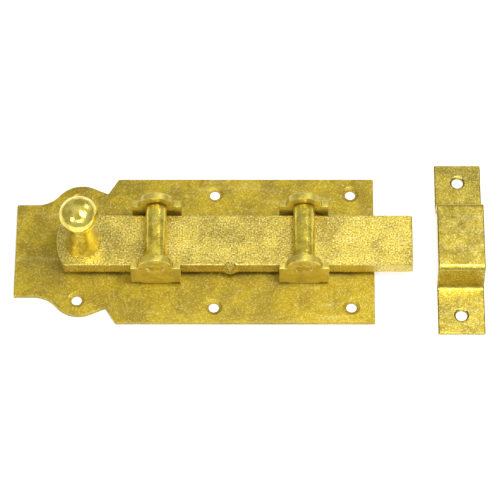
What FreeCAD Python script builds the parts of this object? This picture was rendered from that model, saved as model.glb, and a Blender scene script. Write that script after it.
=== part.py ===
import FreeCAD, Part

import math
import os

# Flat slide bolt with a riveted knob, two roller guides on a shaped back plate, and a separate keeper.
# Millimetres. The origin is the centre of the four plate screws on the mounting face. +X points along
# the bolt towards the keeper, +Y across the plate, and +Z away from the door.

# Back plate
plate_length = 200.0
plate_width = 88.0
plate_thickness = 3.0
plate_edge_break = 0.3
screw_pitch_share = 0.38  # of the plate's length, between the two columns of plate screws
screw_end_margin = 13.0  # from the screw column to the square end
screw_edge_margin = 9.5  # from the screw row to the long edge
screw_hole_diameter = 5.8
countersink_diameter = 9.4

# Shaped end of the plate: distances from its tip, and how far each feature lies in from the long edge
tab_inset = 16.0
valley_radius = 16.8
lobe_offset = 36.2
lobe_inset = 4.3
lobe_radius = 16.4
notch_offset = 50.9
notch_inset = 9.2
shoulder_offset = 56.7
end_screw_offset = 35.1
end_screw_inset = 13.8

# Slide bolt
bolt_width = 30.5
bolt_thickness = 9.0
bolt_tail_inset = 24.0  # from the plate's tip to the bolt's rounded tail, at rest
bolt_reach = 21.0  # past the plate's square end, at rest
bolt_tail_sagitta = 4.3
bolt_edge_round = 0.5
lead_in_length = 3.0
lead_in_drop = 0.6
nose_chamfer = 0.8

# Stop nub: metal swaged out of the bolt's near side by a punch mark on its upper edge
nub_length = 7.6
nub_proud = 1.6
nub_drop = 1.0  # its top below the bolt's top face
punch_radius = 2.5
punch_depth = 3.8
punch_stand_off = 1.0  # the punch's axis out from the bolt's side

# Roller guides: a saddle bent from thick strip, a sleeve and a riveted pin
guide_spacing_share = 0.408  # of the plate's length
guide_end_share = 0.196  # of the plate's length, from the right-hand guide to the square end
saddle_thickness = 4.0
saddle_inside_bend = 1.0
saddle_outside_bend = 1.5
saddle_neck = 16.5  # width of the strip under the bolt
ear_width = 27.5
ear_foot_gap = 2.2  # the ear's wings stay this far above the plate
ear_shoulder_rise = 0.8  # shoulders above the pin's axis
ear_arch_radius = 9.4
ear_arch_rise = 1.9  # the arch's centre above the pin's axis
ear_shoulder_fillet = 1.2
ear_edge_break = 0.25
pin_diameter = 8.0
pin_sink = 0.5  # depth of the countersink that takes the riveted end
pin_sink_width = 0.35
pin_dome = 0.35
roller_diameter = 12.0
roller_chamfer = 0.5

# Saddle rivets, flush at both ends
rivet_diameter = 5.0
rivet_head_diameter = 8.0
rivet_head_depth = 1.5
rivet_set_in = 7.85  # from an ear's inside face to the rivet's axis

# Knob: a flattened ball on a flared stem, with a shank riveted through the bolt
knob_set_in = 14.6  # from the bolt's tail to the knob's axis
knob_off_centre = 1.5  # the axis lies this far to the near side of the bolt's middle
knob_base_radius = 9.8
knob_base_land = 0.7
knob_waist_radius = 5.6
knob_waist_height = 27.0
knob_stem_bow = 0.55  # how far the stem's flank is hollowed
knob_ball_radius = 10.5
knob_ball_half_height = 8.2
knob_ball_side_radius = 7.0
knob_ball_height = 35.3  # ball's centre above the bolt
knob_shank_diameter = 8.0
knob_rivet_diameter = 12.0
knob_rivet_depth = 2.0

# Keeper: a strip bent to a hat section
keeper_strip_width = 26.0
keeper_set_across = 1.3  # the keeper's middle lies this far to the far side of the bolt's
keeper_thickness = 2.5
keeper_gap = 34.5  # from the plate's square end to the keeper
keeper_crown_room = 4.75  # from the bolt's side to the crown's outside corner, before rounding
keeper_splay = 3.7  # how far a wall leans out from the crown to the flange
keeper_screw_out = 16.95  # from the foot of a wall to the screw's axis
keeper_end_margin = 10.85  # from the screw's axis to the cut end
keeper_crown_bend = 3.5
keeper_foot_bend = 2.5
keeper_edge_round = 0.8
keeper_hole_diameter = 6.4
keeper_countersink_diameter = 8.2

# Clearances
side_clearance = 1.6  # bolt to the saddle's ears, each side
floor_clearance = 0.1  # bolt to the saddle's floor
roller_clearance = 0.4  # bolt to roller
roller_bore_clearance = 0.05  # roller on its pin, radial
roller_end_clearance = 0.6  # roller to each ear
keeper_clearance = 0.7  # bolt to the underside of the keeper's crown

# Places worked out from the sizes above
screw_pitch = plate_length * screw_pitch_share
guide_spacing = plate_length * guide_spacing_share
plate_right = screw_pitch / 2 + screw_end_margin
plate_left = plate_right - plate_length
screw_row = plate_width / 2 - screw_edge_margin
end_screw_row = plate_width / 2 - end_screw_inset
right_guide = plate_right - plate_length * guide_end_share
guide_places = {"left": right_guide - guide_spacing, "right": right_guide}
saddle_half = bolt_width / 2 + side_clearance
saddle_outer = saddle_half + saddle_thickness
rivet_row = saddle_half - rivet_set_in
bolt_bottom = plate_thickness + saddle_thickness + floor_clearance
bolt_top = bolt_bottom + bolt_thickness
bolt_left = plate_left + bolt_tail_inset
bolt_right = plate_right + bolt_reach
nub_centre = (guide_places["left"] + guide_places["right"]) / 2
pin_height = bolt_top + roller_clearance + roller_diameter / 2
knob_centre = bolt_left + knob_set_in
keeper_height = bolt_top + keeper_clearance + keeper_thickness
keeper_crown_half = bolt_width / 2 + keeper_crown_room
keeper_foot_half = keeper_crown_half + keeper_splay
keeper_screw_row = keeper_foot_half + keeper_screw_out
keeper_half_length = keeper_screw_row + keeper_end_margin
keeper_centre = plate_right + keeper_gap + keeper_strip_width / 2
overcut = 1.0  # cutting tools run this far past a face


def point(x, y, z):
    return FreeCAD.Vector(x, y, z)


def bend_path(corners, radii):
    """Edges of an open path through corner points, with a tangent arc of a given radius at each inner one."""
    edges = []
    start = corners[0]
    for before, corner, after, radius in zip(corners, corners[1:], corners[2:], radii):
        back = (before - corner).normalize()
        ahead = (after - corner).normalize()
        half_angle = back.getAngle(ahead) / 2
        setback = radius / math.tan(half_angle)
        middle = corner + (back + ahead).normalize() * (radius / math.sin(half_angle) - radius)
        entry, leave = corner + back * setback, corner + ahead * setback
        edges.append(Part.LineSegment(start, entry).toShape())
        edges.append(Part.Arc(entry, middle, leave).toShape())
        start = leave
    edges.append(Part.LineSegment(start, corners[-1]).toShape())
    return edges


def extrude_outline(edges, direction):
    wire = Part.Wire(Part.__sortEdges__(edges))
    return Part.Face(wire).extrude(direction)


def cylinder_z(radius, x, y, low, high):
    return Part.makeCylinder(radius, high - low, point(x, y, low))


def screw_hole(x, y, thickness, hole_diameter, sink_diameter):
    """Through hole with a 90-degree countersink in the upper face of a sheet lying on the mounting face."""
    hole, sink = hole_diameter / 2, sink_diameter / 2
    bore = cylinder_z(hole, x, y, -overcut, thickness + overcut)
    depth = sink - hole
    cone = Part.makeCone(hole, sink + overcut, depth + overcut, point(x, y, thickness - depth))
    return bore.fuse(cone)


def plate_side(side):
    """One long edge of the plate, side +1 or -1, from its tip to the square end."""
    half = plate_width / 2
    tab, lobe = half - tab_inset, half - lobe_inset
    lobe_centre = (plate_left + lobe_offset, lobe - lobe_radius)
    reach = valley_radius + lobe_radius
    climb = tab + valley_radius - lobe_centre[1]
    valley_centre = (lobe_centre[0] - math.sqrt(reach ** 2 - climb ** 2), tab + valley_radius)
    share = valley_radius / reach
    join = tuple(v + (w - v) * share for v, w in zip(valley_centre, lobe_centre))
    notch = (plate_left + notch_offset, half - notch_inset)
    # the straight flank from the lobe to the notch leaves the lobe's arc at a tangent
    run, drop = notch[0] - lobe_centre[0], notch[1] - lobe_centre[1]
    leave_angle = math.atan2(drop, run) + math.acos(lobe_radius / math.hypot(run, drop))

    def on(centre, radius, angle):
        return point(centre[0] + radius * math.cos(angle), side * (centre[1] + radius * math.sin(angle)), 0)

    def at(x, y):
        return point(x, side * y, 0)

    join_angle = math.atan2(join[1] - valley_centre[1], join[0] - valley_centre[0])
    valley_middle = (join_angle - math.pi / 2) / 2
    lobe_start = join_angle + math.pi
    lobe_middle = (lobe_start + leave_angle) / 2
    tangent = on(lobe_centre, lobe_radius, leave_angle)
    corners = [at(plate_left, 0), at(plate_left, tab), at(valley_centre[0], tab)]
    tail = [tangent, at(*notch), at(plate_left + shoulder_offset, half), at(plate_right, half)]
    tail.append(at(plate_right, 0))
    edges = [Part.LineSegment(a, b).toShape() for a, b in zip(corners, corners[1:])]
    edges.append(Part.Arc(corners[-1], on(valley_centre, valley_radius, valley_middle), at(*join)).toShape())
    edges.append(Part.Arc(at(*join), on(lobe_centre, lobe_radius, lobe_middle), tangent).toShape())
    edges += [Part.LineSegment(a, b).toShape() for a, b in zip(tail, tail[1:])]
    return edges


def rivet_places():
    return [(x, row * rivet_row) for x in guide_places.values() for row in (1, -1)]


def saddle_rivet(x, y):
    """Shank with a flush countersunk head in the saddle's floor and another in the plate's back."""
    shank, head = rivet_diameter / 2, rivet_head_diameter / 2
    top = plate_thickness + saddle_thickness
    body = cylinder_z(shank, x, y, 0, top)
    upper = Part.makeCone(shank, head, rivet_head_depth, point(x, y, top - rivet_head_depth))
    lower = Part.makeCone(head, shank, rivet_head_depth, point(x, y, 0))
    return body.fuse([upper, lower]).removeSplitter()


def back_plate():
    blank = extrude_outline(plate_side(1) + plate_side(-1), point(0, 0, plate_thickness))
    rim = [e for e in blank.Edges if abs(e.CenterOfMass.z - plate_thickness) < 1e-6]
    blank = blank.makeChamfer(plate_edge_break, rim)
    screws = [(x, y) for x in (screw_pitch / 2, -screw_pitch / 2) for y in (screw_row, -screw_row)]
    screws += [(plate_left + end_screw_offset, y) for y in (end_screw_row, -end_screw_row)]
    cuts = [screw_hole(x, y, plate_thickness, screw_hole_diameter, countersink_diameter) for x, y in screws]
    cuts += [saddle_rivet(x, y) for x, y in rivet_places()]
    return blank.cut(cuts)


def ear(x, side):
    """Upright ear of a saddle: wings with square shoulders and an arch over the pin."""
    near = side * saddle_half
    half = ear_width / 2
    foot, shoulder = plate_thickness + ear_foot_gap, pin_height + ear_shoulder_rise
    arch_height = pin_height + ear_arch_rise
    # the arch's fillet touches the shoulder line and the arch
    level = shoulder + ear_shoulder_fillet
    out = math.sqrt((ear_arch_radius + ear_shoulder_fillet) ** 2 - (arch_height - level) ** 2)
    blend = ear_arch_radius / (ear_arch_radius + ear_shoulder_fillet)
    touch_x, touch_z = out * blend, arch_height + (level - arch_height) * blend
    turn = math.atan2(touch_z - level, touch_x - out)
    middle = (turn + math.pi * 3 / 2) / 2 if turn > 0 else (turn - math.pi / 2) / 2
    bow_x = out + ear_shoulder_fillet * math.cos(middle)
    bow_z = level + ear_shoulder_fillet * math.sin(middle)

    def at(dx, z):
        return point(x + dx, near, z)

    right = [at(0, foot), at(half, foot), at(half, shoulder), at(out, shoulder)]
    edges = []
    for mirror in (1, -1):
        ends = [point(x + mirror * (p.x - x), near, p.z) for p in right]
        edges += [Part.LineSegment(a, b).toShape() for a, b in zip(ends, ends[1:])]
        bow = at(mirror * bow_x, bow_z)
        edges.append(Part.Arc(ends[-1], bow, at(mirror * touch_x, touch_z)).toShape())
    crown = Part.Arc(at(touch_x, touch_z), at(0, arch_height + ear_arch_radius), at(-touch_x, touch_z))
    edges.append(crown.toShape())
    return extrude_outline(edges, point(0, side * saddle_thickness, 0))


def guide_bracket(x):
    """Saddle: a neck that runs under the bolt and turns up into two ears."""
    floor, under = plate_thickness + saddle_thickness, plate_thickness
    top = pin_height
    start = x - saddle_neck / 2
    inner = [point(start, y, z) for y, z in
             ((-saddle_half, top), (-saddle_half, floor), (saddle_half, floor), (saddle_half, top))]
    outer = [point(start, y, z) for y, z in
             ((-saddle_outer, top), (-saddle_outer, under), (saddle_outer, under), (saddle_outer, top))]
    edges = bend_path(inner, [saddle_inside_bend] * 2) + bend_path(outer, [saddle_outside_bend] * 2)
    edges += [Part.LineSegment(a, b).toShape() for a, b in zip((inner[0], inner[-1]), (outer[0], outer[-1]))]
    neck = extrude_outline(edges, point(saddle_neck, 0, 0))
    body = neck.fuse([ear(x, 1), ear(x, -1)]).removeSplitter()
    rim = [e for e in body.Edges if abs(abs(e.CenterOfMass.y) - saddle_outer) < 1e-6
           and e.CenterOfMass.z > plate_thickness + ear_foot_gap + overcut]
    body = body.makeChamfer(ear_edge_break, rim)
    cuts = [pin_hole(x)] + [saddle_rivet(*place) for place in rivet_places() if place[0] == x]
    return body.cut(cuts)


def pin_hole(x):
    """Hole through both ears, flared at its mouths where the pin's ends are riveted over."""
    radius = pin_diameter / 2
    bore = Part.makeCylinder(radius, 2 * saddle_outer, point(x, -saddle_outer, pin_height), point(0, 1, 0))
    flares = []
    for side in (1, -1):
        base = point(x, side * (saddle_outer - pin_sink), pin_height)
        flares.append(Part.makeCone(radius, radius + pin_sink_width, pin_sink, base, point(0, side, 0)))
    return bore.fuse(flares).removeSplitter()


def roller_pin(x):
    """Pin with riveted ends, each finished by a low dome inside the mouth of its hole."""
    radius = pin_diameter / 2
    end = saddle_outer - pin_sink
    dome_radius = (radius ** 2 + pin_dome ** 2) / (2 * pin_dome)
    body = Part.makeCylinder(radius, 2 * end, point(x, -end, pin_height), point(0, 1, 0))
    domes = []
    for side in (1, -1):
        centre = point(x, side * (end + pin_dome - dome_radius), pin_height)
        ball = Part.makeSphere(dome_radius, centre)
        slab = Part.makeCylinder(radius, pin_dome + overcut, point(x, side * (end - overcut), pin_height),
                                 point(0, side, 0))
        domes.append(ball.common(slab))
    return body.fuse(domes).removeSplitter()


def guide_roller(x):
    """Sleeve that turns on the pin between the ears."""
    half = saddle_half - roller_end_clearance
    outer, inner = roller_diameter / 2, pin_diameter / 2 + roller_bore_clearance
    corners = ((inner, -half), (outer - roller_chamfer, -half), (outer, -half + roller_chamfer),
               (outer, half - roller_chamfer), (outer - roller_chamfer, half), (inner, half))
    outline = [point(x + r, y, pin_height) for r, y in corners]
    face = Part.Face(Part.makePolygon(outline + outline[:1]))
    return face.revolve(point(x, 0, pin_height), point(0, 1, 0), 360)


def knob():
    """Turned knob: flared stem, flattened ball, and a shank closed over under the bolt."""
    def at(r, z):
        return point(knob_centre + r, -knob_off_centre, z)

    land = bolt_top + knob_base_land
    waist = bolt_top + knob_waist_height
    centre = bolt_top + knob_ball_height
    shank, rivet = knob_shank_diameter / 2, knob_rivet_diameter / 2
    flank_middle = at((knob_base_radius + knob_waist_radius) / 2 - knob_stem_bow, (land + waist) / 2)
    # the ball is an oval of three arcs: a tight side between two flatter caps centred on the axis
    side_out = knob_ball_radius - knob_ball_side_radius
    cap = (side_out ** 2 + knob_ball_half_height ** 2 - knob_ball_side_radius ** 2)
    cap /= 2 * (knob_ball_half_height - knob_ball_side_radius)
    cap_drop = cap - knob_ball_half_height
    joint_angle = math.atan2(cap_drop, side_out)
    joint_r, joint_z = cap * math.cos(joint_angle), cap * math.sin(joint_angle) - cap_drop
    meet_angle = -math.acos(knob_waist_radius / cap)
    lower_middle, upper_middle = (meet_angle - joint_angle) / 2, (joint_angle + math.pi / 2) / 2
    meet = at(knob_waist_radius, centre + cap_drop + cap * math.sin(meet_angle))
    ball = [Part.Arc(meet, at(cap * math.cos(lower_middle), centre + cap_drop + cap * math.sin(lower_middle)),
                     at(joint_r, centre - joint_z)),
            Part.Arc(at(joint_r, centre - joint_z), at(knob_ball_radius, centre),
                     at(joint_r, centre + joint_z)),
            Part.Arc(at(joint_r, centre + joint_z),
                     at(cap * math.cos(upper_middle), centre - cap_drop + cap * math.sin(upper_middle)),
                     at(0, centre + knob_ball_half_height))]
    low = [at(0, bolt_bottom), at(rivet, bolt_bottom), at(shank, bolt_bottom + knob_rivet_depth),
           at(shank, bolt_top), at(knob_base_radius, bolt_top), at(knob_base_radius, land)]
    edges = [Part.LineSegment(a, b).toShape() for a, b in zip(low, low[1:])]
    edges.append(Part.Arc(low[-1], flank_middle, at(knob_waist_radius, waist)).toShape())
    edges.append(Part.LineSegment(at(knob_waist_radius, waist), meet).toShape())
    edges += [arc.toShape() for arc in ball]
    edges.append(Part.LineSegment(at(0, centre + knob_ball_half_height), at(0, bolt_bottom)).toShape())
    face = Part.Face(Part.Wire(Part.__sortEdges__(edges)))
    return face.revolve(at(0, 0), point(0, 0, 1), 360)


def knob_hole():
    shank, rivet = knob_shank_diameter / 2, knob_rivet_diameter / 2
    bore = cylinder_z(shank, knob_centre, -knob_off_centre, bolt_bottom, bolt_top)
    sink = Part.makeCone(rivet, shank, knob_rivet_depth, point(knob_centre, -knob_off_centre, bolt_bottom))
    return bore.fuse(sink)


def slide_bolt():
    """Flat bar with a rounded tail, a bevelled nose and the stop nub."""
    half = bolt_width / 2
    shoulder = bolt_left + bolt_tail_sagitta
    corners = [point(shoulder, half, bolt_bottom), point(bolt_right, half, bolt_bottom),
               point(bolt_right, -half, bolt_bottom), point(shoulder, -half, bolt_bottom)]
    edges = [Part.LineSegment(a, b).toShape() for a, b in zip(corners, corners[1:])]
    edges.append(Part.Arc(corners[-1], point(bolt_left, 0, bolt_bottom), corners[0]).toShape())
    bar = extrude_outline(edges, point(0, 0, bolt_thickness))
    rim = [e for e in bar.Edges if e.BoundBox.XLength > bolt_tail_sagitta + overcut]
    bar = bar.makeFillet(bolt_edge_round, rim)
    # nose: a shallow bevel, then a steep one at the very end
    bevel = [(bolt_right - lead_in_length, bolt_top), (bolt_right - nose_chamfer, bolt_top - lead_in_drop),
             (bolt_right, bolt_top - lead_in_drop - nose_chamfer), (bolt_right + overcut, bolt_top),
             (bolt_right, bolt_top + overcut)]
    outline = [point(x, -half - overcut, z) for x, z in bevel]
    wedge = Part.Face(Part.makePolygon(outline + outline[:1])).extrude(point(0, bolt_width + 2 * overcut, 0))
    nub_radius = ((nub_length / 2) ** 2 + nub_proud ** 2) / (2 * nub_proud)
    nub = cylinder_z(nub_radius, nub_centre, nub_radius - half - nub_proud, bolt_bottom, bolt_top - nub_drop)
    punch_tip = point(nub_centre, -half - punch_stand_off, bolt_top - punch_depth)
    punch = Part.makeCone(0, punch_radius, punch_depth, punch_tip)
    return bar.fuse(nub).cut([wedge, punch, knob_hole()]).removeSplitter()


def keeper():
    """Hat section with two flanges screwed to the frame and a crown that the bolt slides under."""
    half, start = keeper_half_length, keeper_centre - keeper_strip_width / 2
    lean = math.atan2(keeper_foot_half - keeper_crown_half, keeper_height - keeper_thickness)
    # the inside corners lie one thickness in from the outside ones, measured square to each face
    shift = keeper_thickness * math.tan((math.pi / 2 - lean) / 2)
    top, crown, foot = keeper_height, keeper_crown_half, keeper_foot_half
    upper = ((half, keeper_thickness), (foot, keeper_thickness), (crown, top))
    lower = ((half, 0), (foot - shift, 0), (crown - shift, top - keeper_thickness))
    ends, edges = [], []
    for rows, foot_bend, crown_bend in ((upper, keeper_foot_bend, keeper_crown_bend),
                                        (lower, keeper_foot_bend + keeper_thickness,
                                         keeper_crown_bend - keeper_thickness)):
        corners = [point(start, y, z) for y, z in rows]
        corners += [point(start, -y, z) for y, z in reversed(rows)]
        edges += bend_path(corners, [foot_bend, crown_bend, crown_bend, foot_bend])
        ends.append((corners[0], corners[-1]))
    edges += [Part.LineSegment(a, b).toShape() for a, b in zip(*ends)]
    strip = extrude_outline(edges, point(keeper_strip_width, 0, 0))
    cuts = [screw_hole(keeper_centre, row * keeper_screw_row, keeper_thickness, keeper_hole_diameter,
                       keeper_countersink_diameter) for row in (1, -1)]
    strip = strip.cut(cuts)
    # the strip's long edges are rolled round; its two cut ends stay sharp
    rolled = [e for e in strip.Edges if abs(e.CenterOfMass.y) < half - overcut
              and abs(abs(e.CenterOfMass.x - keeper_centre) - keeper_strip_width / 2) < 1e-6]
    return strip.makeFillet(keeper_edge_round, rolled).translated(point(0, keeper_set_across, 0))


def build():
    pieces = {"back_plate": back_plate(), "slide_bolt": slide_bolt(), "knob": knob(), "keeper": keeper()}
    for name, x in guide_places.items():
        pieces[f"{name}_guide_bracket"] = guide_bracket(x)
        pieces[f"{name}_roller_pin"] = roller_pin(x)
        pieces[f"{name}_guide_roller"] = guide_roller(x)
        for row, y in (("far", rivet_row), ("near", -rivet_row)):
            pieces[f"{name}_{row}_saddle_rivet"] = saddle_rivet(x, y)
    return pieces


os.makedirs("parts", exist_ok=True)
for node, shape in build().items():
    shape.exportStep(f"parts/{node}.step")
    print(f"{node}: {len(shape.Solids)} solid, valid {shape.isValid()}, volume {shape.Volume:.1f}")
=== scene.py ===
import math

import bmesh
import bpy
from mathutils import Euler, Matrix, Vector


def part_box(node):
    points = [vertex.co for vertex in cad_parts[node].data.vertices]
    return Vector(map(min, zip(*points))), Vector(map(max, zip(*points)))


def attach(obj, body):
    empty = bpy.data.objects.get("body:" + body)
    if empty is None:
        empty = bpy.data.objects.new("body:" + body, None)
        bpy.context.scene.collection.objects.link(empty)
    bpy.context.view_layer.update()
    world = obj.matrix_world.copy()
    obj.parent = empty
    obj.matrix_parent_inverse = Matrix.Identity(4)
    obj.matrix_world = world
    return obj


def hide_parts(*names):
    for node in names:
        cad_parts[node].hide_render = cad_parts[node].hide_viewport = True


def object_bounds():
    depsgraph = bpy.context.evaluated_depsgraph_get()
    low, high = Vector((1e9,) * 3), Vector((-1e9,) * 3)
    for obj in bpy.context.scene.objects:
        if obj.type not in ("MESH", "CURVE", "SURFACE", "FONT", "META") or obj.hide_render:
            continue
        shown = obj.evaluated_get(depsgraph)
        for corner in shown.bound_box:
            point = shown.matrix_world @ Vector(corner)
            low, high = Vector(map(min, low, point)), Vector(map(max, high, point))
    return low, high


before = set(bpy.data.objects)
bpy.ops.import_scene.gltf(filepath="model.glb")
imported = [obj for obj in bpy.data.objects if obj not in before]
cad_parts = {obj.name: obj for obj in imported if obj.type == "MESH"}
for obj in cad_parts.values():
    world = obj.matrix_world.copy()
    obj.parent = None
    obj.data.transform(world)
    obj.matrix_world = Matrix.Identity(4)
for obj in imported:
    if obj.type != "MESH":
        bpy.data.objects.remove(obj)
cad_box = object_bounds()

# Sizes below are in millimetres, turned into metres when a mesh is made
MM = 0.001


def box_mm(node):
    low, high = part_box(node)
    return low / MM, high / MM


# ---------------------------------------------------------------- mesh tools

def arc(centre, radius, start, end, steps):
    """Points on an arc from one angle to another, in degrees, both ends included."""
    turn = math.radians(end - start) / steps
    first = math.radians(start)
    return [(centre[0] + radius * math.cos(first + turn * i), centre[1] + radius * math.sin(first + turn * i))
            for i in range(steps + 1)]


def circle_hole(x, y, radius, steps=64):
    """A hole's loop runs clockwise, so that its left side is metal."""
    return arc((x, y), radius, 360, 360 / steps, steps - 1)


def offset_loop(points, distance):
    """A closed loop moved to its left side by a distance, with mitred corners."""
    moved = []
    for i, here in enumerate(points):
        before, after = points[i - 1], points[(i + 1) % len(points)]
        sides = []
        for a, b in ((before, here), (here, after)):
            length = math.hypot(b[0] - a[0], b[1] - a[1])
            sides.append(((a[1] - b[1]) / length, (b[0] - a[0]) / length))
        (ax, ay), (bx, by) = sides
        scale = distance / (1 + ax * bx + ay * by)
        moved.append((here[0] + (ax + bx) * scale, here[1] + (ay + by) * scale))
    return moved


def round_corner(before, corner, after, radius, steps=5):
    """Points of a tangent arc that replaces a corner."""
    corner, back, ahead = Vector(corner), Vector(before) - Vector(corner), Vector(after) - Vector(corner)
    back.normalize()
    ahead.normalize()
    half = back.angle(ahead) / 2
    setback = radius / math.tan(half)
    centre = corner + (back + ahead).normalized() * radius / math.sin(half)
    first, last = corner + back * setback - centre, corner + ahead * setback - centre
    turn = first.angle_signed(last)
    return [tuple(centre + Matrix.Rotation(-turn * i / steps, 2) @ first) for i in range(steps + 1)]


def rounded_rim(depth, low_round, high_round, steps=4):
    """Edge profile of a slab from its lower to its upper face: (inset, height) pairs."""
    profile = []
    for i in range(steps + 1):
        angle = math.pi / 2 * i / steps
        profile.append((low_round * (1 - math.sin(angle)), low_round * (1 - math.cos(angle))))
    for i in range(steps + 1):
        angle = math.pi / 2 * i / steps
        profile.append((high_round * (1 - math.cos(angle)), depth - high_round * (1 - math.sin(angle))))
    return profile


def slab(loops):
    """Closed solid between two flat faces. Each loop has its own edge profile; holes run clockwise."""
    bm = bmesh.new()
    faces = ([], [])
    for points, profile in loops:
        rings = [[bm.verts.new((x, y, height)) for x, y in offset_loop(points, inset)] for inset, height in profile]
        for lower, upper in zip(rings, rings[1:]):
            for i in range(len(points)):
                bm.faces.new((lower[i - 1], lower[i], upper[i], upper[i - 1]))
        for edges, ring in zip(faces, (rings[0], rings[-1])):
            edges += [bm.edges.get((ring[i - 1], ring[i])) for i in range(len(ring))]
    for edges in faces:
        bmesh.ops.triangle_fill(bm, edges=edges, use_beauty=True, use_dissolve=False)
    bmesh.ops.recalc_face_normals(bm, faces=bm.faces)
    return bm


def slice_at(bm, axis, places):
    """Cuts edges into a mesh on planes square to one axis, so that it can bend there."""
    normal = Vector((0, 0, 0))
    normal[axis] = 1
    for place in places:
        geometry = bm.verts[:] + bm.edges[:] + bm.faces[:]
        bmesh.ops.bisect_plane(bm, geom=geometry, dist=1e-5, plane_co=normal * place, plane_no=normal)


def lathe(profile, steps=96, closed=False):
    """Solid turned round the Z axis from (radius, height) pairs: its ends lie on the axis, or it closes on itself."""
    bm = bmesh.new()
    rings = []
    for radius, height in profile:
        if radius < 1e-6:
            rings.append([bm.verts.new((0, 0, height))])
        else:
            rings.append([bm.verts.new((x, y, height)) for x, y in arc((0, 0), radius, 0, 360 - 360 / steps, steps - 1)])
    for lower, upper in zip(rings, rings[1:] + rings[:1] if closed else rings[1:]):
        for i in range(steps):
            corners = [lower[i - 1 if len(lower) > 1 else 0], lower[i if len(lower) > 1 else 0],
                       upper[i if len(upper) > 1 else 0], upper[i - 1 if len(upper) > 1 else 0]]
            bm.faces.new(list(dict.fromkeys(corners)))
    bmesh.ops.recalc_face_normals(bm, faces=bm.faces)
    return bm


def place(bm, change):
    """Moves every point of a mesh through a function of its coordinates."""
    for vert in bm.verts:
        vert.co = Vector(change(*vert.co))
    bmesh.ops.recalc_face_normals(bm, faces=bm.faces)


SHARP_ANGLE = math.radians(38)


def make_piece(name, bm, body, nodes, material):
    mesh = bpy.data.meshes.new(name)
    bmesh.ops.scale(bm, vec=(MM, MM, MM), verts=bm.verts)
    bm.to_mesh(mesh)
    bm.free()
    mesh.shade_smooth()
    mesh.set_sharp_from_angle(angle=SHARP_ANGLE)
    mesh.materials.append(material)
    piece = bpy.data.objects.new(name, mesh)
    bpy.context.scene.collection.objects.link(piece)
    even = piece.modifiers.new("even_normals", "WEIGHTED_NORMAL")
    even.keep_sharp = True
    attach(piece, body)
    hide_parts(*nodes)
    return piece


def combine(first, second, operation):
    """Boolean of two closed meshes, as one bmesh."""
    objects = []
    for bm in (first, second):
        mesh = bpy.data.meshes.new("operand")
        bm.to_mesh(mesh)
        bm.free()
        item = bpy.data.objects.new("operand", mesh)
        bpy.context.scene.collection.objects.link(item)
        objects.append(item)
    boolean = objects[0].modifiers.new("boolean", "BOOLEAN")
    boolean.operation = operation
    boolean.solver = "EXACT"
    boolean.object = objects[1]
    result = bmesh.new()
    result.from_object(objects[0], bpy.context.evaluated_depsgraph_get())
    for item in objects:
        bpy.data.objects.remove(item)
    return result


# ---------------------------------------------------------------- materials

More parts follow.
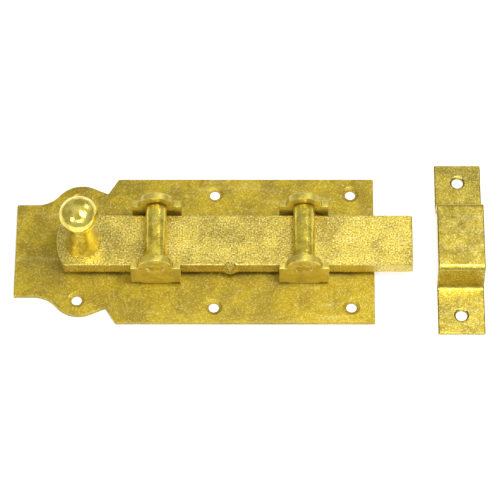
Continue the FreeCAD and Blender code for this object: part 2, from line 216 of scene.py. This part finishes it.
def zinc(name, tone, dull, bright, roughness, grain, cloud, metal=0.85, coat=0.0, rim=None):
    """Yellow passivated zinc plating: cloudy film, crystalline grain, and a painted rim colour: pale rims are
    rubbed-bright wear with painted highlight, dark rims are painted shade.

    grain and cloud are (size in mm, colour contrast, bump strength). A sheet's rim is (axis, bent, reach,
    colour): its thickness lies along that axis, or, when it is bent about the axis, square to it. Its rims take the
    colour where the surface turns from the sheet's face past the cosine in reach, and its cut sides are torn."""
    material = bpy.data.materials.new(name)
    material.use_nodes = True
    tree = material.node_tree
    tree.nodes.clear()
    links = tree.links

    def feed(socket, value):
        if isinstance(value, bpy.types.NodeSocket):
            links.new(value, socket)
        else:
            socket.default_value = value

    def add(kind, **values):
        node = tree.nodes.new(kind)
        for key, value in values.items():
            setattr(node, key, value)
        return node

    def mix(factor, first, second, blend="MIX"):
        node = add("ShaderNodeMix", data_type="RGBA", blend_type=blend)
        for socket, value in zip((node.inputs[0], node.inputs[6], node.inputs[7]), (factor, first, second)):
            feed(socket, value)
        return node.outputs[2]

    def math_node(operation, first, second=0.0):
        node = add("ShaderNodeMath", operation=operation)
        feed(node.inputs[0], first)
        feed(node.inputs[1], second)
        return node.outputs[0]

    def noise(size, detail, rough, stretch=(1, 1, 1)):
        mapping = add("ShaderNodeMapping")
        mapping.inputs["Scale"].default_value = stretch
        links.new(where.outputs["Object"], mapping.inputs["Vector"])
        node = add("ShaderNodeTexNoise")
        node.inputs["Scale"].default_value = 1 / (size * MM)
        node.inputs["Detail"].default_value = detail
        node.inputs["Roughness"].default_value = rough
        links.new(mapping.outputs[0], node.inputs["Vector"])
        return node.outputs["Fac"]

    def window(value, low, high, out_low=0.0, out_high=1.0):
        node = add("ShaderNodeMapRange", interpolation_type="SMOOTHSTEP")
        for key, number in zip(("Value", "From Min", "From Max", "To Min", "To Max"),
                               (value, low, high, out_low, out_high)):
            feed(node.inputs[key], number)
        return node.outputs["Result"]

    def bump(strength, distance, height, normal=None):
        node = add("ShaderNodeBump")
        node.inputs["Strength"].default_value = strength
        node.inputs["Distance"].default_value = distance * MM
        links.new(height, node.inputs["Height"])
        if normal:
            links.new(normal, node.inputs["Normal"])
        return node.outputs[0]

    where = add("ShaderNodeTexCoord")
    grain_size, grain_contrast, grain_bump = grain
    cloud_size, cloud_contrast, cloud_bump = cloud

    clouds = window(noise(cloud_size, 6, 0.62), 0.34, 0.62)
    patches = window(noise(cloud_size * 0.35, 5, 0.6), 0.50, 0.72)
    crystals = noise(grain_size, 2, 0.75)
    dark_specks = window(crystals, 0.50, 0.36, 0.0, grain_contrast)
    pale_specks = window(crystals, 0.53, 0.68, 0.0, grain_contrast)
    smears = window(noise(6.0, 6, 0.65, (0.2, 1.0, 1.0)), 0.54, 0.74)

    colour = mix(window(clouds, 0, 1, cloud_contrast, 0), (*tone, 1), (*dull, 1))
    colour = mix(math_node("MULTIPLY", patches, cloud_contrast * 0.75), colour, (*dull, 1))
    colour = mix(math_node("MULTIPLY", smears, 0.22), colour, (*bright, 1))
    colour = mix(dark_specks, colour, (dull[0] * 0.6, dull[1] * 0.55, dull[2] * 0.5, 1))
    colour = mix(pale_specks, colour, (*bright, 1))

    gloss = window(noise(cloud_size * 0.5, 5, 0.6), 0.35, 0.65, roughness * 0.8, roughness * 1.25)
    normal = bump(cloud_bump, 0.5, noise(cloud_size * 0.8, 2, 0.5))
    normal = bump(grain_bump, 0.10, crystals, normal)
    normal = bump(0.2, 0.05, smears, normal)
    if rim:
        axis, bent, reach, rim_colour = rim
        split = add("ShaderNodeSeparateXYZ")
        links.new(where.outputs["Normal"], split.inputs[0])
        turned = math_node("ABSOLUTE", split.outputs[axis])
        if bent:
            turned = math_node("SQRT", math_node("SUBTRACT", 1.0, math_node("MULTIPLY", turned, turned)))
        # Rim band: a pale rim colour is partly rubbed-bright wear and partly painted highlight, with lower roughness
        # there; the keeper's umber rim colour is painted shade on its rounded edges.
        edge = math_node("MULTIPLY", window(turned, 0.53, 0.62), window(turned, reach, reach + 0.06, 1.0, 0.0))
        rim_wear_and_painted_light = math_node("MULTIPLY", edge, window(noise(2.2, 4, 0.6), 0.30, 0.55, 0.35, 0.95))
        colour = mix(math_node("MULTIPLY", rim_wear_and_painted_light, 0.85), colour, (*rim_colour, 1))
        gloss = math_node("SUBTRACT", gloss, math_node("MULTIPLY", rim_wear_and_painted_light, roughness * 0.45))
        cut_side = window(turned, 0.0, 0.12, 1.0, 0.0)
        tearing = math_node("MULTIPLY", noise(1.4, 4, 0.7, (1.0, 1.0, 0.35)), cut_side)
        normal = bump(0.5, 0.2, tearing, normal)

    surface = add("ShaderNodeBsdfPrincipled")
    surface.inputs["Metallic"].default_value = metal
    surface.inputs["Coat Weight"].default_value = coat
    surface.inputs["Coat Roughness"].default_value = 0.18
    links.new(colour, surface.inputs["Base Color"])
    links.new(gloss, surface.inputs["Roughness"])
    links.new(normal, surface.inputs["Normal"])

    output = add("ShaderNodeOutputMaterial")
    links.new(surface.outputs[0], output.inputs[0])
    return material


GOLD = (0.53, 0.39, 0.02)
OLIVE = (0.32, 0.225, 0.02)
PALE = (1.0, 0.88, 0.40)
# Painted shade: dark colour laid on the keeper strip's rounded long edges.
PAINTED_SHADE_UMBER = (0.16, 0.11, 0.02)

# Pale rims on the plate, bolt and saddles: partly rubbed-bright wear, partly painted highlight along the edges.
plate_zinc = zinc("plate_zinc", GOLD, OLIVE, PALE, 0.50, (0.9, 0.34, 0.6), (17.0, 0.70, 0.6), metal=0.75,
                  rim=("Z", False, 0.76, PALE))
bolt_zinc = zinc("bolt_zinc", (0.72, 0.565, 0.08), (0.44, 0.32, 0.035), (1.0, 0.92, 0.50), 0.42,
                 (0.95, 0.85, 1.0), (20.0, 0.65, 0.5), rim=("Z", False, 0.76, PALE))
knob_zinc = zinc("knob_zinc", (0.97, 0.82, 0.16), (0.66, 0.50, 0.05), (1.0, 0.92, 0.45), 0.19,
                 (0.8, 0.20, 0.2), (6.0, 0.9, 0.5), metal=0.95, coat=0.25)
# Its rim colour is painted shade along the strip's rounded long edges.
keeper_zinc = zinc("keeper_zinc", (0.59, 0.455, 0.05), (0.42, 0.32, 0.03), (1.0, 0.92, 0.50), 0.34,
                   (0.9, 0.55, 0.8), (14.0, 0.6, 0.4), metal=0.9, rim=("X", True, 0.93, PAINTED_SHADE_UMBER))
bracket_zinc = zinc("bracket_zinc", (0.68, 0.545, 0.085), (0.50, 0.395, 0.055), PALE, 0.34,
                    (0.9, 0.22, 0.4), (7.0, 0.8, 0.4), metal=0.75, rim=("Y", False, 0.76, PALE))
roller_zinc = zinc("roller_zinc", (0.90, 0.72, 0.09), (0.58, 0.44, 0.04), (1.0, 0.92, 0.50), 0.25,
                   (0.9, 0.25, 0.4), (7.0, 1.0, 0.5), metal=0.95)
rivet_zinc = zinc("rivet_zinc", (0.62, 0.47, 0.05), (0.40, 0.30, 0.03), PALE, 0.36,
                  (0.9, 0.3, 0.5), (5.0, 0.7, 0.5))

# ---------------------------------------------------------------- back plate

PLATE_LOW, PLATE_HIGH = box_mm("back_plate")
PLATE_THICKNESS = PLATE_HIGH.z - PLATE_LOW.z
TAB_INSET, LOBE_INSET, NOTCH_INSET = 16.0, 4.3, 9.2
VALLEY_RADIUS, LOBE_RADIUS = 16.8, 16.4
LOBE_OFFSET, NOTCH_OFFSET, SHOULDER_OFFSET = 36.2, 50.9, 56.7
SCREW_PITCH, SCREW_EDGE = 76.0, 9.5
END_SCREW_OFFSET, END_SCREW_INSET = 35.1, 13.8
SCREW_HOLE, COUNTERSINK = 2.9, 4.7
COUNTERSINK_SLOPE = 0.55


def plate_half_outline():
    """The upper long edge, from the square end to the tip, running counter-clockwise."""
    half = PLATE_HIGH.y
    left, right = PLATE_LOW.x, PLATE_HIGH.x
    tab, lobe_y = half - TAB_INSET, half - LOBE_INSET - LOBE_RADIUS
    lobe_x = left + LOBE_OFFSET
    reach, climb = VALLEY_RADIUS + LOBE_RADIUS, tab + VALLEY_RADIUS - lobe_y
    valley_x = lobe_x - math.sqrt(reach ** 2 - climb ** 2)
    join = math.degrees(math.atan2(-climb, lobe_x - valley_x))
    notch_x, notch_y = left + NOTCH_OFFSET, half - NOTCH_INSET
    run, drop = notch_x - lobe_x, notch_y - lobe_y
    leave = math.degrees(math.atan2(drop, run) + math.acos(LOBE_RADIUS / math.hypot(run, drop)))
    corners = [(right, half), (left + SHOULDER_OFFSET, half), (notch_x, notch_y)]
    lobe = arc((lobe_x, lobe_y), LOBE_RADIUS, leave, join + 180, 40)
    valley = arc((valley_x, tab + VALLEY_RADIUS), VALLEY_RADIUS, join, -90, 24)
    points = round_corner((right, 0), corners[0], corners[1], 0.6)
    points += round_corner(corners[0], corners[1], corners[2], 0.6)
    points += round_corner(corners[1], corners[2], lobe[0], 0.5)
    points += lobe + valley[1:]
    return points + round_corner(valley[-1], (left, tab), (left, 0), 0.6)


def countersunk(depth, hole, sink):
    """Edge profile of a screw hole: broken lower edge, straight bore, cone, softened mouth."""
    step = sink - hole
    fall = step * COUNTERSINK_SLOPE
    return [(0.25, 0), (0.07, 0.07), (0, 0.25), (0, depth - fall - 0.2), (0.06, depth - fall - 0.03),
            (0.2, depth - fall * 0.88), (step - 0.15, depth - 0.13), (step + 0.02, depth - 0.04), (step + 0.25, depth)]


def back_plate():
    upper = plate_half_outline()
    outline = upper + [(x, -y) for x, y in reversed(upper)]
    loops = [(outline, rounded_rim(PLATE_THICKNESS, 0.2, 0.5))]
    screw_y, end_y = PLATE_HIGH.y - SCREW_EDGE, PLATE_HIGH.y - END_SCREW_INSET
    screws = [(side * SCREW_PITCH / 2, row * screw_y) for side in (1, -1) for row in (1, -1)]
    screws += [(PLATE_LOW.x + END_SCREW_OFFSET, row * end_y) for row in (1, -1)]
    for x, y in screws:
        loops.append((circle_hole(x, y, SCREW_HOLE), countersunk(PLATE_THICKNESS, SCREW_HOLE, COUNTERSINK)))
    return slab(loops)


make_piece("back_plate_sheet", back_plate(), "base", ["back_plate"], plate_zinc)

# ---------------------------------------------------------------- slide bolt

BOLT_LOW, BOLT_HIGH = box_mm("slide_bolt")
BOLT_HALF = BOLT_HIGH.y
NUB_PROUD = -BOLT_LOW.y - BOLT_HALF
GUIDE_X = {side: (box_mm(f"{side}_guide_bracket")[0].x + box_mm(f"{side}_guide_bracket")[1].x) / 2
           for side in ("left", "right")}
NUB_X = (GUIDE_X["left"] + GUIDE_X["right"]) / 2
TAIL_SAGITTA = 4.3
NOSE_LENGTH, NOSE_DROP, NOSE_CHAMFER = 3.0, 0.6, 0.8
NUB_REACH = 5.2  # half the length over which the nub swells out
PUNCH_RADIUS, PUNCH_DEPTH, PUNCH_STAND_OFF = 3.9, 7.4, 1.7


def smooth(value, low, high):
    share = min(max((value - low) / (high - low), 0), 1)
    return share * share * (3 - 2 * share)


def bolt_shape(x, y, z):
    """Swells the nub out of the near side and bevels the nose."""
    depth = BOLT_HIGH.z - z
    across = abs(x - NUB_X) / NUB_REACH
    if across < 1 and y < 0.7 - BOLT_HALF:
        y -= NUB_PROUD * math.cos(across * math.pi / 2) ** 2 * smooth(depth, 0.4, 4.5)
    start, knee = BOLT_HIGH.x - NOSE_LENGTH, BOLT_HIGH.x - NOSE_CHAMFER
    if z > BOLT_HIGH.z - 2 and x > start:
        fall = NOSE_DROP * min((x - start) / (knee - start), 1) + max(x - knee, 0)
        z -= fall * smooth(z, BOLT_HIGH.z - 2, BOLT_HIGH.z - 0.4)
    return x, y, z


def slide_bolt():
    shoulder = BOLT_LOW.x + TAIL_SAGITTA
    tail_radius = (BOLT_HALF ** 2 + TAIL_SAGITTA ** 2) / (2 * TAIL_SAGITTA)
    sweep = math.degrees(math.asin(BOLT_HALF / tail_radius))
    tail = arc((BOLT_LOW.x + tail_radius, 0), tail_radius, 180 - sweep, 180 + sweep, 40)
    outline = round_corner((0, BOLT_HALF), tail[0], tail[1], 0.5, 3) + tail[2:-2]
    outline += round_corner(tail[-2], tail[-1], (0, -BOLT_HALF), 0.5, 3)
    steps = 26
    outline += [(NUB_X + NUB_REACH * (2 * i / steps - 1), -BOLT_HALF) for i in range(steps + 1)]
    corner = (BOLT_HIGH.x, -BOLT_HALF)
    outline += round_corner((0, -BOLT_HALF), corner, (BOLT_HIGH.x, 0), 0.35, 3)
    outline += round_corner((BOLT_HIGH.x, 0), (BOLT_HIGH.x, BOLT_HALF), (0, BOLT_HALF), 0.35, 3)
    depth = BOLT_HIGH.z - BOLT_LOW.z
    rim = rounded_rim(depth, 0.3, 0.65)
    middle = len(rim) // 2
    rim[middle:middle] = [(0, 0.3 + (depth - 0.95) * i / 12) for i in range(1, 12)]
    knob_low, knob_high = box_mm("knob")
    knob_x, knob_y = (knob_low.x + knob_high.x) / 2, (knob_low.y + knob_high.y) / 2
    hole = [(2.0, 0), (0, 2.0), (0, depth)]
    bm = slab([(outline, rim), (circle_hole(knob_x, knob_y, KNOB_SHANK), hole)])
    slice_at(bm, 0, (BOLT_HIGH.x - NOSE_LENGTH, BOLT_HIGH.x - NOSE_CHAMFER))
    place(bm, lambda x, y, z: bolt_shape(x, y, z + BOLT_LOW.z))
    tip = BOLT_HIGH.z - PUNCH_DEPTH
    over = 1.0
    flare = PUNCH_RADIUS * (1 + over / PUNCH_DEPTH)
    punch = lathe([(0, tip), (0.35, tip + 0.3), (PUNCH_RADIUS * 0.5, tip + PUNCH_DEPTH * 0.5),
                   (flare, BOLT_HIGH.z + over), (0, BOLT_HIGH.z + over)], 48)
    place(punch, lambda x, y, z: (x + NUB_X, y - BOLT_HALF - PUNCH_STAND_OFF, z))
    return combine(bm, punch, "DIFFERENCE")


# ---------------------------------------------------------------- knob

KNOB_SHANK, KNOB_RIVET, KNOB_RIVET_DEPTH = 4.0, 6.0, 2.0
KNOB_BASE, KNOB_LAND, KNOB_WAIST, KNOB_WAIST_HEIGHT = 9.8, 0.7, 5.6, 27.0
KNOB_BOW = 0.55
BALL_RADIUS, BALL_HALF_HEIGHT, BALL_SIDE, BALL_HEIGHT = 10.5, 8.2, 7.0, 35.3


def knob_profile():
    """Radius and height of the turned knob, from the riveted shank under the bolt to the top of the ball."""
    top = BOLT_HIGH.z
    profile = [(0, BOLT_LOW.z + 0.05), (KNOB_RIVET - 0.8, BOLT_LOW.z + 0.05), (KNOB_RIVET - 0.1, BOLT_LOW.z + 0.2),
               (KNOB_SHANK, BOLT_LOW.z + KNOB_RIVET_DEPTH), (KNOB_SHANK, top - 0.01), (KNOB_BASE - 0.1, top - 0.01)]
    profile += [(KNOB_BASE - 0.22 + x, top + 0.5 + z) for x, z in arc((0, 0), 0.22, -60, 80, 5)]
    land, waist = top + KNOB_LAND, top + KNOB_WAIST_HEIGHT
    steps = 26
    for i in range(steps + 1):
        share = i / steps
        radius = KNOB_BASE - 0.35 + (KNOB_WAIST - KNOB_BASE + 0.35) * share - 4 * KNOB_BOW * share * (1 - share)
        radius += 0.25 * math.exp(-share * 30)  # small fillet into the base
        profile.append((radius, land + 0.1 + (waist - land - 0.1) * share))
    centre = top + BALL_HEIGHT
    side_out = BALL_RADIUS - BALL_SIDE
    cap = (side_out ** 2 + BALL_HALF_HEIGHT ** 2 - BALL_SIDE ** 2) / (2 * (BALL_HALF_HEIGHT - BALL_SIDE))
    drop = cap - BALL_HALF_HEIGHT
    joint = math.degrees(math.atan2(drop, side_out))
    meet = -math.degrees(math.acos((KNOB_WAIST + 0.5) / cap))
    profile += arc((0, centre + drop), cap, meet, -joint, 14)
    profile += arc((side_out, centre), BALL_SIDE, -joint, joint, 22)[1:]
    profile += arc((0, centre - drop), cap, joint, 90, 18)[1:-1]
    return profile + [(0, centre + BALL_HALF_HEIGHT)]


def knob():
    low, high = box_mm("knob")
    bm = lathe(knob_profile(), 128)
    middle = (low + high) / 2
    place(bm, lambda x, y, z: (x + middle.x, y + middle.y, z))
    return bm


# ---------------------------------------------------------------- roller guides

EAR_SHOULDER_RISE, EAR_ARCH_RADIUS, EAR_ARCH_RISE, EAR_FILLET = 0.8, 9.4, 1.9, 1.2
EAR_FOOT_GAP = 2.2
SADDLE_THICKNESS, SADDLE_NECK = 4.0, 16.5
SADDLE_INSIDE_BEND, SADDLE_OUTSIDE_BEND = 1.0, 1.5
PIN_RADIUS, PIN_SINK, PIN_FLARE = 4.0, 0.9, 0.85
ROLLER_BORE = 4.05


def pin_height(side):
    low, high = box_mm(f"{side}_guide_roller")
    return (low.z + high.z) / 2


def ear(side, row):
    """One upright ear with its arch, square shoulders and wings; row is +1 for the far ear, -1 for the near one."""
    low, high = box_mm(f"{side}_guide_bracket")
    half, x0 = (high.x - low.x) / 2, GUIDE_X[side]
    axis = pin_height(side)
    shoulder, arch_z = axis + EAR_SHOULDER_RISE, axis + EAR_ARCH_RISE
    level = shoulder + EAR_FILLET
    reach = EAR_ARCH_RADIUS + EAR_FILLET
    out = math.sqrt(reach ** 2 - (arch_z - level) ** 2)
    turn = math.degrees(math.atan2(level - arch_z, out))
    right = round_corner((0, low.z + EAR_FOOT_GAP), (half, low.z + EAR_FOOT_GAP), (half, shoulder), 0.5)
    right += round_corner((half, 0), (half, shoulder), (0, shoulder), 0.5)
    right += arc((out, level), EAR_FILLET, -90, turn - 180, 8)
    right += arc((0, arch_z), EAR_ARCH_RADIUS, turn, 90, 32)[1:]
    outline = right + [(-x, z) for x, z in reversed(right[:-1])]
    hole = [(0.15, 0), (0, 0.15), (0, SADDLE_THICKNESS - PIN_SINK), (PIN_FLARE, SADDLE_THICKNESS)]
    rim = rounded_rim(SADDLE_THICKNESS, 0.3, 0.6)
    bm = slab([(outline, rim), (circle_hole(0, axis, PIN_RADIUS), hole)])
    inner = high.y - SADDLE_THICKNESS
    place(bm, lambda x, z, depth: (x0 + x, row * (inner + depth), z))
    return bm


def saddle_path(corner_y, corner_z, top, radius, steps=6):
    """Half of the strip's path in the YZ plane: along the floor, round the bend and up inside the ear."""
    bend = arc((corner_y - radius, corner_z + radius), radius, -90, 0, steps)
    return [(0, corner_z)] + bend + [(corner_y, top)]


def neck(side):
    """The strip under the bolt, as a closed band whose ends are buried in the ears."""
    low, high = box_mm(f"{side}_guide_bracket")
    buried = 0.02
    top = high.z - 14
    floor = low.z + SADDLE_THICKNESS
    inner = saddle_path(high.y - SADDLE_THICKNESS + buried, floor, top, SADDLE_INSIDE_BEND)
    outer = saddle_path(high.y - buried, low.z, top, SADDLE_OUTSIDE_BEND)
    half, soft = SADDLE_NECK / 2, 0.3
    bm = bmesh.new()
    rings = []
    stations = [(-y1, z1, -y2, z2) for (y1, z1), (y2, z2) in zip(inner[:0:-1], outer[:0:-1])]
    stations += [(*a, *b) for a, b in zip(inner[1:], outer[1:])]
    for y1, z1, y2, z2 in stations:
        length = math.hypot(y2 - y1, z2 - z1)
        share = soft / length
        ring = []
        for x, t in ((-half, share), (-half + soft, 0), (half - soft, 0), (half, share),
                     (half, 1 - share), (half - soft, 1), (-half + soft, 1), (-half, 1 - share)):
            ring.append(bm.verts.new((GUIDE_X[side] + x, y1 + (y2 - y1) * t, z1 + (z2 - z1) * t)))
        rings.append(ring)
    for first, second in zip(rings, rings[1:]):
        for i in range(len(first)):
            bm.faces.new((first[i - 1], first[i], second[i], second[i - 1]))
    bm.faces.new(rings[0])
    bm.faces.new(rings[-1])
    bmesh.ops.recalc_face_normals(bm, faces=bm.faces)
    return bm


def guide_bracket(side):
    return combine(combine(neck(side), ear(side, 1), "UNION"), ear(side, -1), "UNION")


def along_y(side):
    """Turns a lathed piece from the Z axis on to a guide's pin axis."""
    x0, axis = GUIDE_X[side], pin_height(side)
    return lambda x, y, z: (x0 + x, z, axis + y)


def roller_pin(side):
    """Pin whose ends are upset into the flared mouths of the ears: a flat face with rounded edges."""
    end = box_mm(f"{side}_roller_pin")[1].y
    half = [(0, end - 0.30), (1.4, end - 0.28), (2.7, end - 0.30), (3.3, end - 0.38), (3.7, end - 0.55),
            (3.9, end - 0.75), (PIN_RADIUS - 0.01, end - 1.0)]
    profile = [(radius, -height) for radius, height in half] + half[::-1]
    bm = lathe(profile, 64)
    place(bm, along_y(side))
    return bm


def guide_roller(side):
    low, high = box_mm(f"{side}_guide_roller")
    half, radius = high.y, (high.x - low.x) / 2
    crown = [(radius - 0.5 + a, half - 0.5 + b) for a, b in arc((0, 0), 0.5, 90, 0, 6)]
    grooves = [(radius, half - 1.6), (radius, 0)]
    upper = [(ROLLER_BORE, half - 0.2), (ROLLER_BORE + 0.2, half)] + crown + grooves
    profile = upper + [(r, -z) for r, z in reversed(upper[:-1])]
    bm = lathe(profile, 96, closed=True)
    place(bm, along_y(side))
    return bm


def saddle_rivet(node):
    """Flush rivet: a faintly crowned head in a shallow ring at both ends."""
    low, high = box_mm(node)
    middle = (low + high) / 2
    head = (high.x - low.x) / 2
    shank = 2.5
    depth = 1.5
    profile = [(0, low.z), (head * 0.7, low.z + 0.04), (head - 0.25, low.z + 0.12), (head - 0.05, low.z + 0.2),
               (shank, low.z + depth)]
    profile += [(radius, low.z + high.z - height) for radius, height in reversed(profile)]
    bm = lathe(profile, 48)
    place(bm, lambda x, y, z: (x + middle.x, y + middle.y, z))
    return bm


# ---------------------------------------------------------------- keeper

KEEPER_LOW, KEEPER_HIGH = box_mm("keeper")
KEEPER_THICKNESS = 2.5
KEEPER_CROWN_HALF, KEEPER_FOOT_HALF = 20.0, 23.7
KEEPER_CROWN_BEND, KEEPER_FOOT_BEND = 3.5, 2.5
KEEPER_HOLE, KEEPER_SINK, KEEPER_SCREW_ROW = 3.2, 4.1, 40.65
KEEPER_ROLL = 0.8  # rounding of the strip's long edges
KEEPER_CUT = 0.35  # share of that rounding left at the sheared ends


def keeper_runs():
    """Straight runs and bends of the strip's upper face, as (length, turn in radians, radius)."""
    rise = KEEPER_HIGH.z - KEEPER_THICKNESS
    splay = KEEPER_FOOT_HALF - KEEPER_CROWN_HALF
    lean = math.atan2(rise, splay)
    foot_set, crown_set = (r * math.tan(lean / 2) for r in (KEEPER_FOOT_BEND, KEEPER_CROWN_BEND))
    flange = (KEEPER_HIGH.y - KEEPER_LOW.y) / 2 - KEEPER_FOOT_HALF - foot_set
    wall = math.hypot(rise, splay) - foot_set - crown_set
    crown = 2 * (KEEPER_CROWN_HALF - crown_set)
    foot, top = (KEEPER_FOOT_BEND * lean, lean, KEEPER_FOOT_BEND), (KEEPER_CROWN_BEND * lean, -lean, KEEPER_CROWN_BEND)
    return [(flange, 0, 0), foot, (wall, 0, 0), top, (crown, 0, 0), top, (wall, 0, 0), foot, (flange, 0, 0)]


def follow(runs, distance):
    """Point and heading at a distance along the strip's upper face, in the YZ plane."""
    y, z, heading = KEEPER_LOW.y, KEEPER_THICKNESS, 0.0
    for i, (length, turn, radius) in enumerate(runs):
        step = distance if i == len(runs) - 1 else min(distance, length)
        if turn:
            bend = turn * step / length
            side = math.copysign(radius, turn)
            y += side * (math.sin(heading + bend) - math.sin(heading))
            z -= side * (math.cos(heading + bend) - math.cos(heading))
            heading += bend
        else:
            y += step * math.cos(heading)
            z += step * math.sin(heading)
        distance -= step
        if distance <= 0:
            break
    return y, z, heading


def keeper():
    """Drilled blank, then bent: each point moves with the strip's upper face."""
    runs = keeper_runs()
    total = sum(length for length, turn, radius in runs)
    half = (KEEPER_HIGH.x - KEEPER_LOW.x) / 2
    middle_x = (KEEPER_HIGH.x + KEEPER_LOW.x) / 2
    corners = [(-half, 0), (half, 0), (half, total), (-half, total)]
    outline = []
    for i, corner in enumerate(corners):
        outline += round_corner(corners[i - 1], corner, corners[(i + 1) % 4], 0.9, 4)
    screw = (KEEPER_HIGH.y - KEEPER_LOW.y) / 2 - KEEPER_SCREW_ROW
    loops = [(outline, rounded_rim(KEEPER_THICKNESS, KEEPER_ROLL, KEEPER_ROLL, 5))]
    for along in (screw, total - screw):
        loops.append((circle_hole(0, along, KEEPER_HOLE), countersunk(KEEPER_THICKNESS, KEEPER_HOLE, KEEPER_SINK)))
    bm = slab(loops)
    places, start = [], 0
    for length, turn, radius in runs:
        count = 14 if turn else 1
        places += [start + length * i / count for i in range(count)]
        start += length
    slice_at(bm, 1, places[1:])

    def bend(x, along, height):
        nearest = min(along, total - along)
        if nearest < KEEPER_ROLL:
            squeezed = KEEPER_ROLL - (KEEPER_ROLL - nearest) * KEEPER_CUT - KEEPER_ROLL * (1 - KEEPER_CUT)
            along = squeezed if along < total / 2 else total - squeezed
        y, z, heading = follow(runs, along)
        depth = KEEPER_THICKNESS - height
        return middle_x + x, y + math.sin(heading) * depth, z - math.cos(heading) * depth

    place(bm, bend)
    return bm


make_piece("slide_bolt_bar", slide_bolt(), "bolt", ["slide_bolt"], bolt_zinc)
make_piece("turned_knob", knob(), "bolt", ["knob"], knob_zinc)
make_piece("keeper_strip", keeper(), "base", ["keeper"], keeper_zinc)
for side in ("left", "right"):
    make_piece(f"{side}_saddle", guide_bracket(side), "base", [f"{side}_guide_bracket"], bracket_zinc)
    make_piece(f"{side}_pin", roller_pin(side), "base", [f"{side}_roller_pin"], rivet_zinc)
    make_piece(f"{side}_sleeve", guide_roller(side), f"{side}_roller", [f"{side}_guide_roller"],
               roller_zinc)
    for row in ("far", "near"):
        node = f"{side}_{row}_saddle_rivet"
        make_piece(f"{side}_{row}_rivet", saddle_rivet(node), "base", [node], rivet_zinc)

# ---------------------------------------------------------------- stage

CAMERA_TILT = math.radians(25.0)
CAMERA_PAN = math.radians(0.597)
CAMERA_DISTANCE = 1.4656
CAMERA_AIM = Vector((-0.01816, 0.0, 0.003))
CAMERA_LENS = 189.4
SENSOR_WIDTH = 36.0


def add_camera():
    data = bpy.data.cameras.new("camera")
    data.lens = CAMERA_LENS
    data.sensor_width = SENSOR_WIDTH
    camera = bpy.data.objects.new("camera", data)
    bpy.context.scene.collection.objects.link(camera)
    turn = Euler((CAMERA_TILT, 0, 0)).to_matrix() @ Matrix.Rotation(CAMERA_PAN, 3, "Y")
    eye = CAMERA_AIM + turn @ Vector((0, 0, CAMERA_DISTANCE))
    camera.matrix_world = Matrix.Translation(eye) @ turn.to_4x4()
    bpy.context.scene.camera = camera


def area_light(name, direction, distance, width, height, power):
    """Softbox that faces the latch from a direction."""
    data = bpy.data.lights.new(name, "AREA")
    data.shape = "RECTANGLE"
    data.size, data.size_y = width, height
    data.energy = power
    light = bpy.data.objects.new(name, data)
    bpy.context.scene.collection.objects.link(light)
    aim = Vector(direction).normalized()
    light.location = CAMERA_AIM + aim * distance
    light.rotation_euler = aim.to_track_quat("Z", "Y").to_euler()


def add_floor():
    size = 3.0
    mesh = bpy.data.meshes.new("floor")
    mesh.from_pydata([(-size, -size, 0), (size, -size, 0), (size, size, 0), (-size, size, 0)], [], [(0, 1, 2, 3)])
    floor = bpy.data.objects.new("floor", mesh)
    floor.location.z = cad_box[0][2] - 0.0002
    bpy.context.scene.collection.objects.link(floor)
    material = bpy.data.materials.new("floor_paper")
    material.use_nodes = True
    surface = material.node_tree.nodes["Principled BSDF"]
    surface.inputs["Base Color"].default_value = (0.6, 0.6, 0.6, 1)
    surface.inputs["Roughness"].default_value = 0.9
    surface.inputs["Emission Color"].default_value = (1, 1, 1, 1)
    surface.inputs["Emission Strength"].default_value = 0.6
    mesh.materials.append(material)


def add_world(level):
    world = bpy.data.worlds.new("studio")
    bpy.context.scene.world = world
    world.use_nodes = True
    background = world.node_tree.nodes["Background"]
    background.inputs["Color"].default_value = (1, 1, 1, 1)
    background.inputs["Strength"].default_value = level


add_camera()
add_floor()
add_world(0.46)
area_light("overhead", (-0.05, 0.36, 0.93), 2.4, 2.6, 2.0, 3.0)
area_light("key", (0.19, -0.05, 0.75), 0.78, 0.20, 0.32, 3.5)
area_light("far_right", (0.50, 0.60, 0.62), 2.4, 0.22, 0.42, 5)
area_light("front_left", (-0.50, -0.45, 0.74), 2.0, 0.34, 0.34, 5)
area_light("front_high", (0.06, -0.62, 0.78), 1.5, 0.7, 0.25, 3.2)
bpy.context.scene.view_settings.view_transform = "Standard"
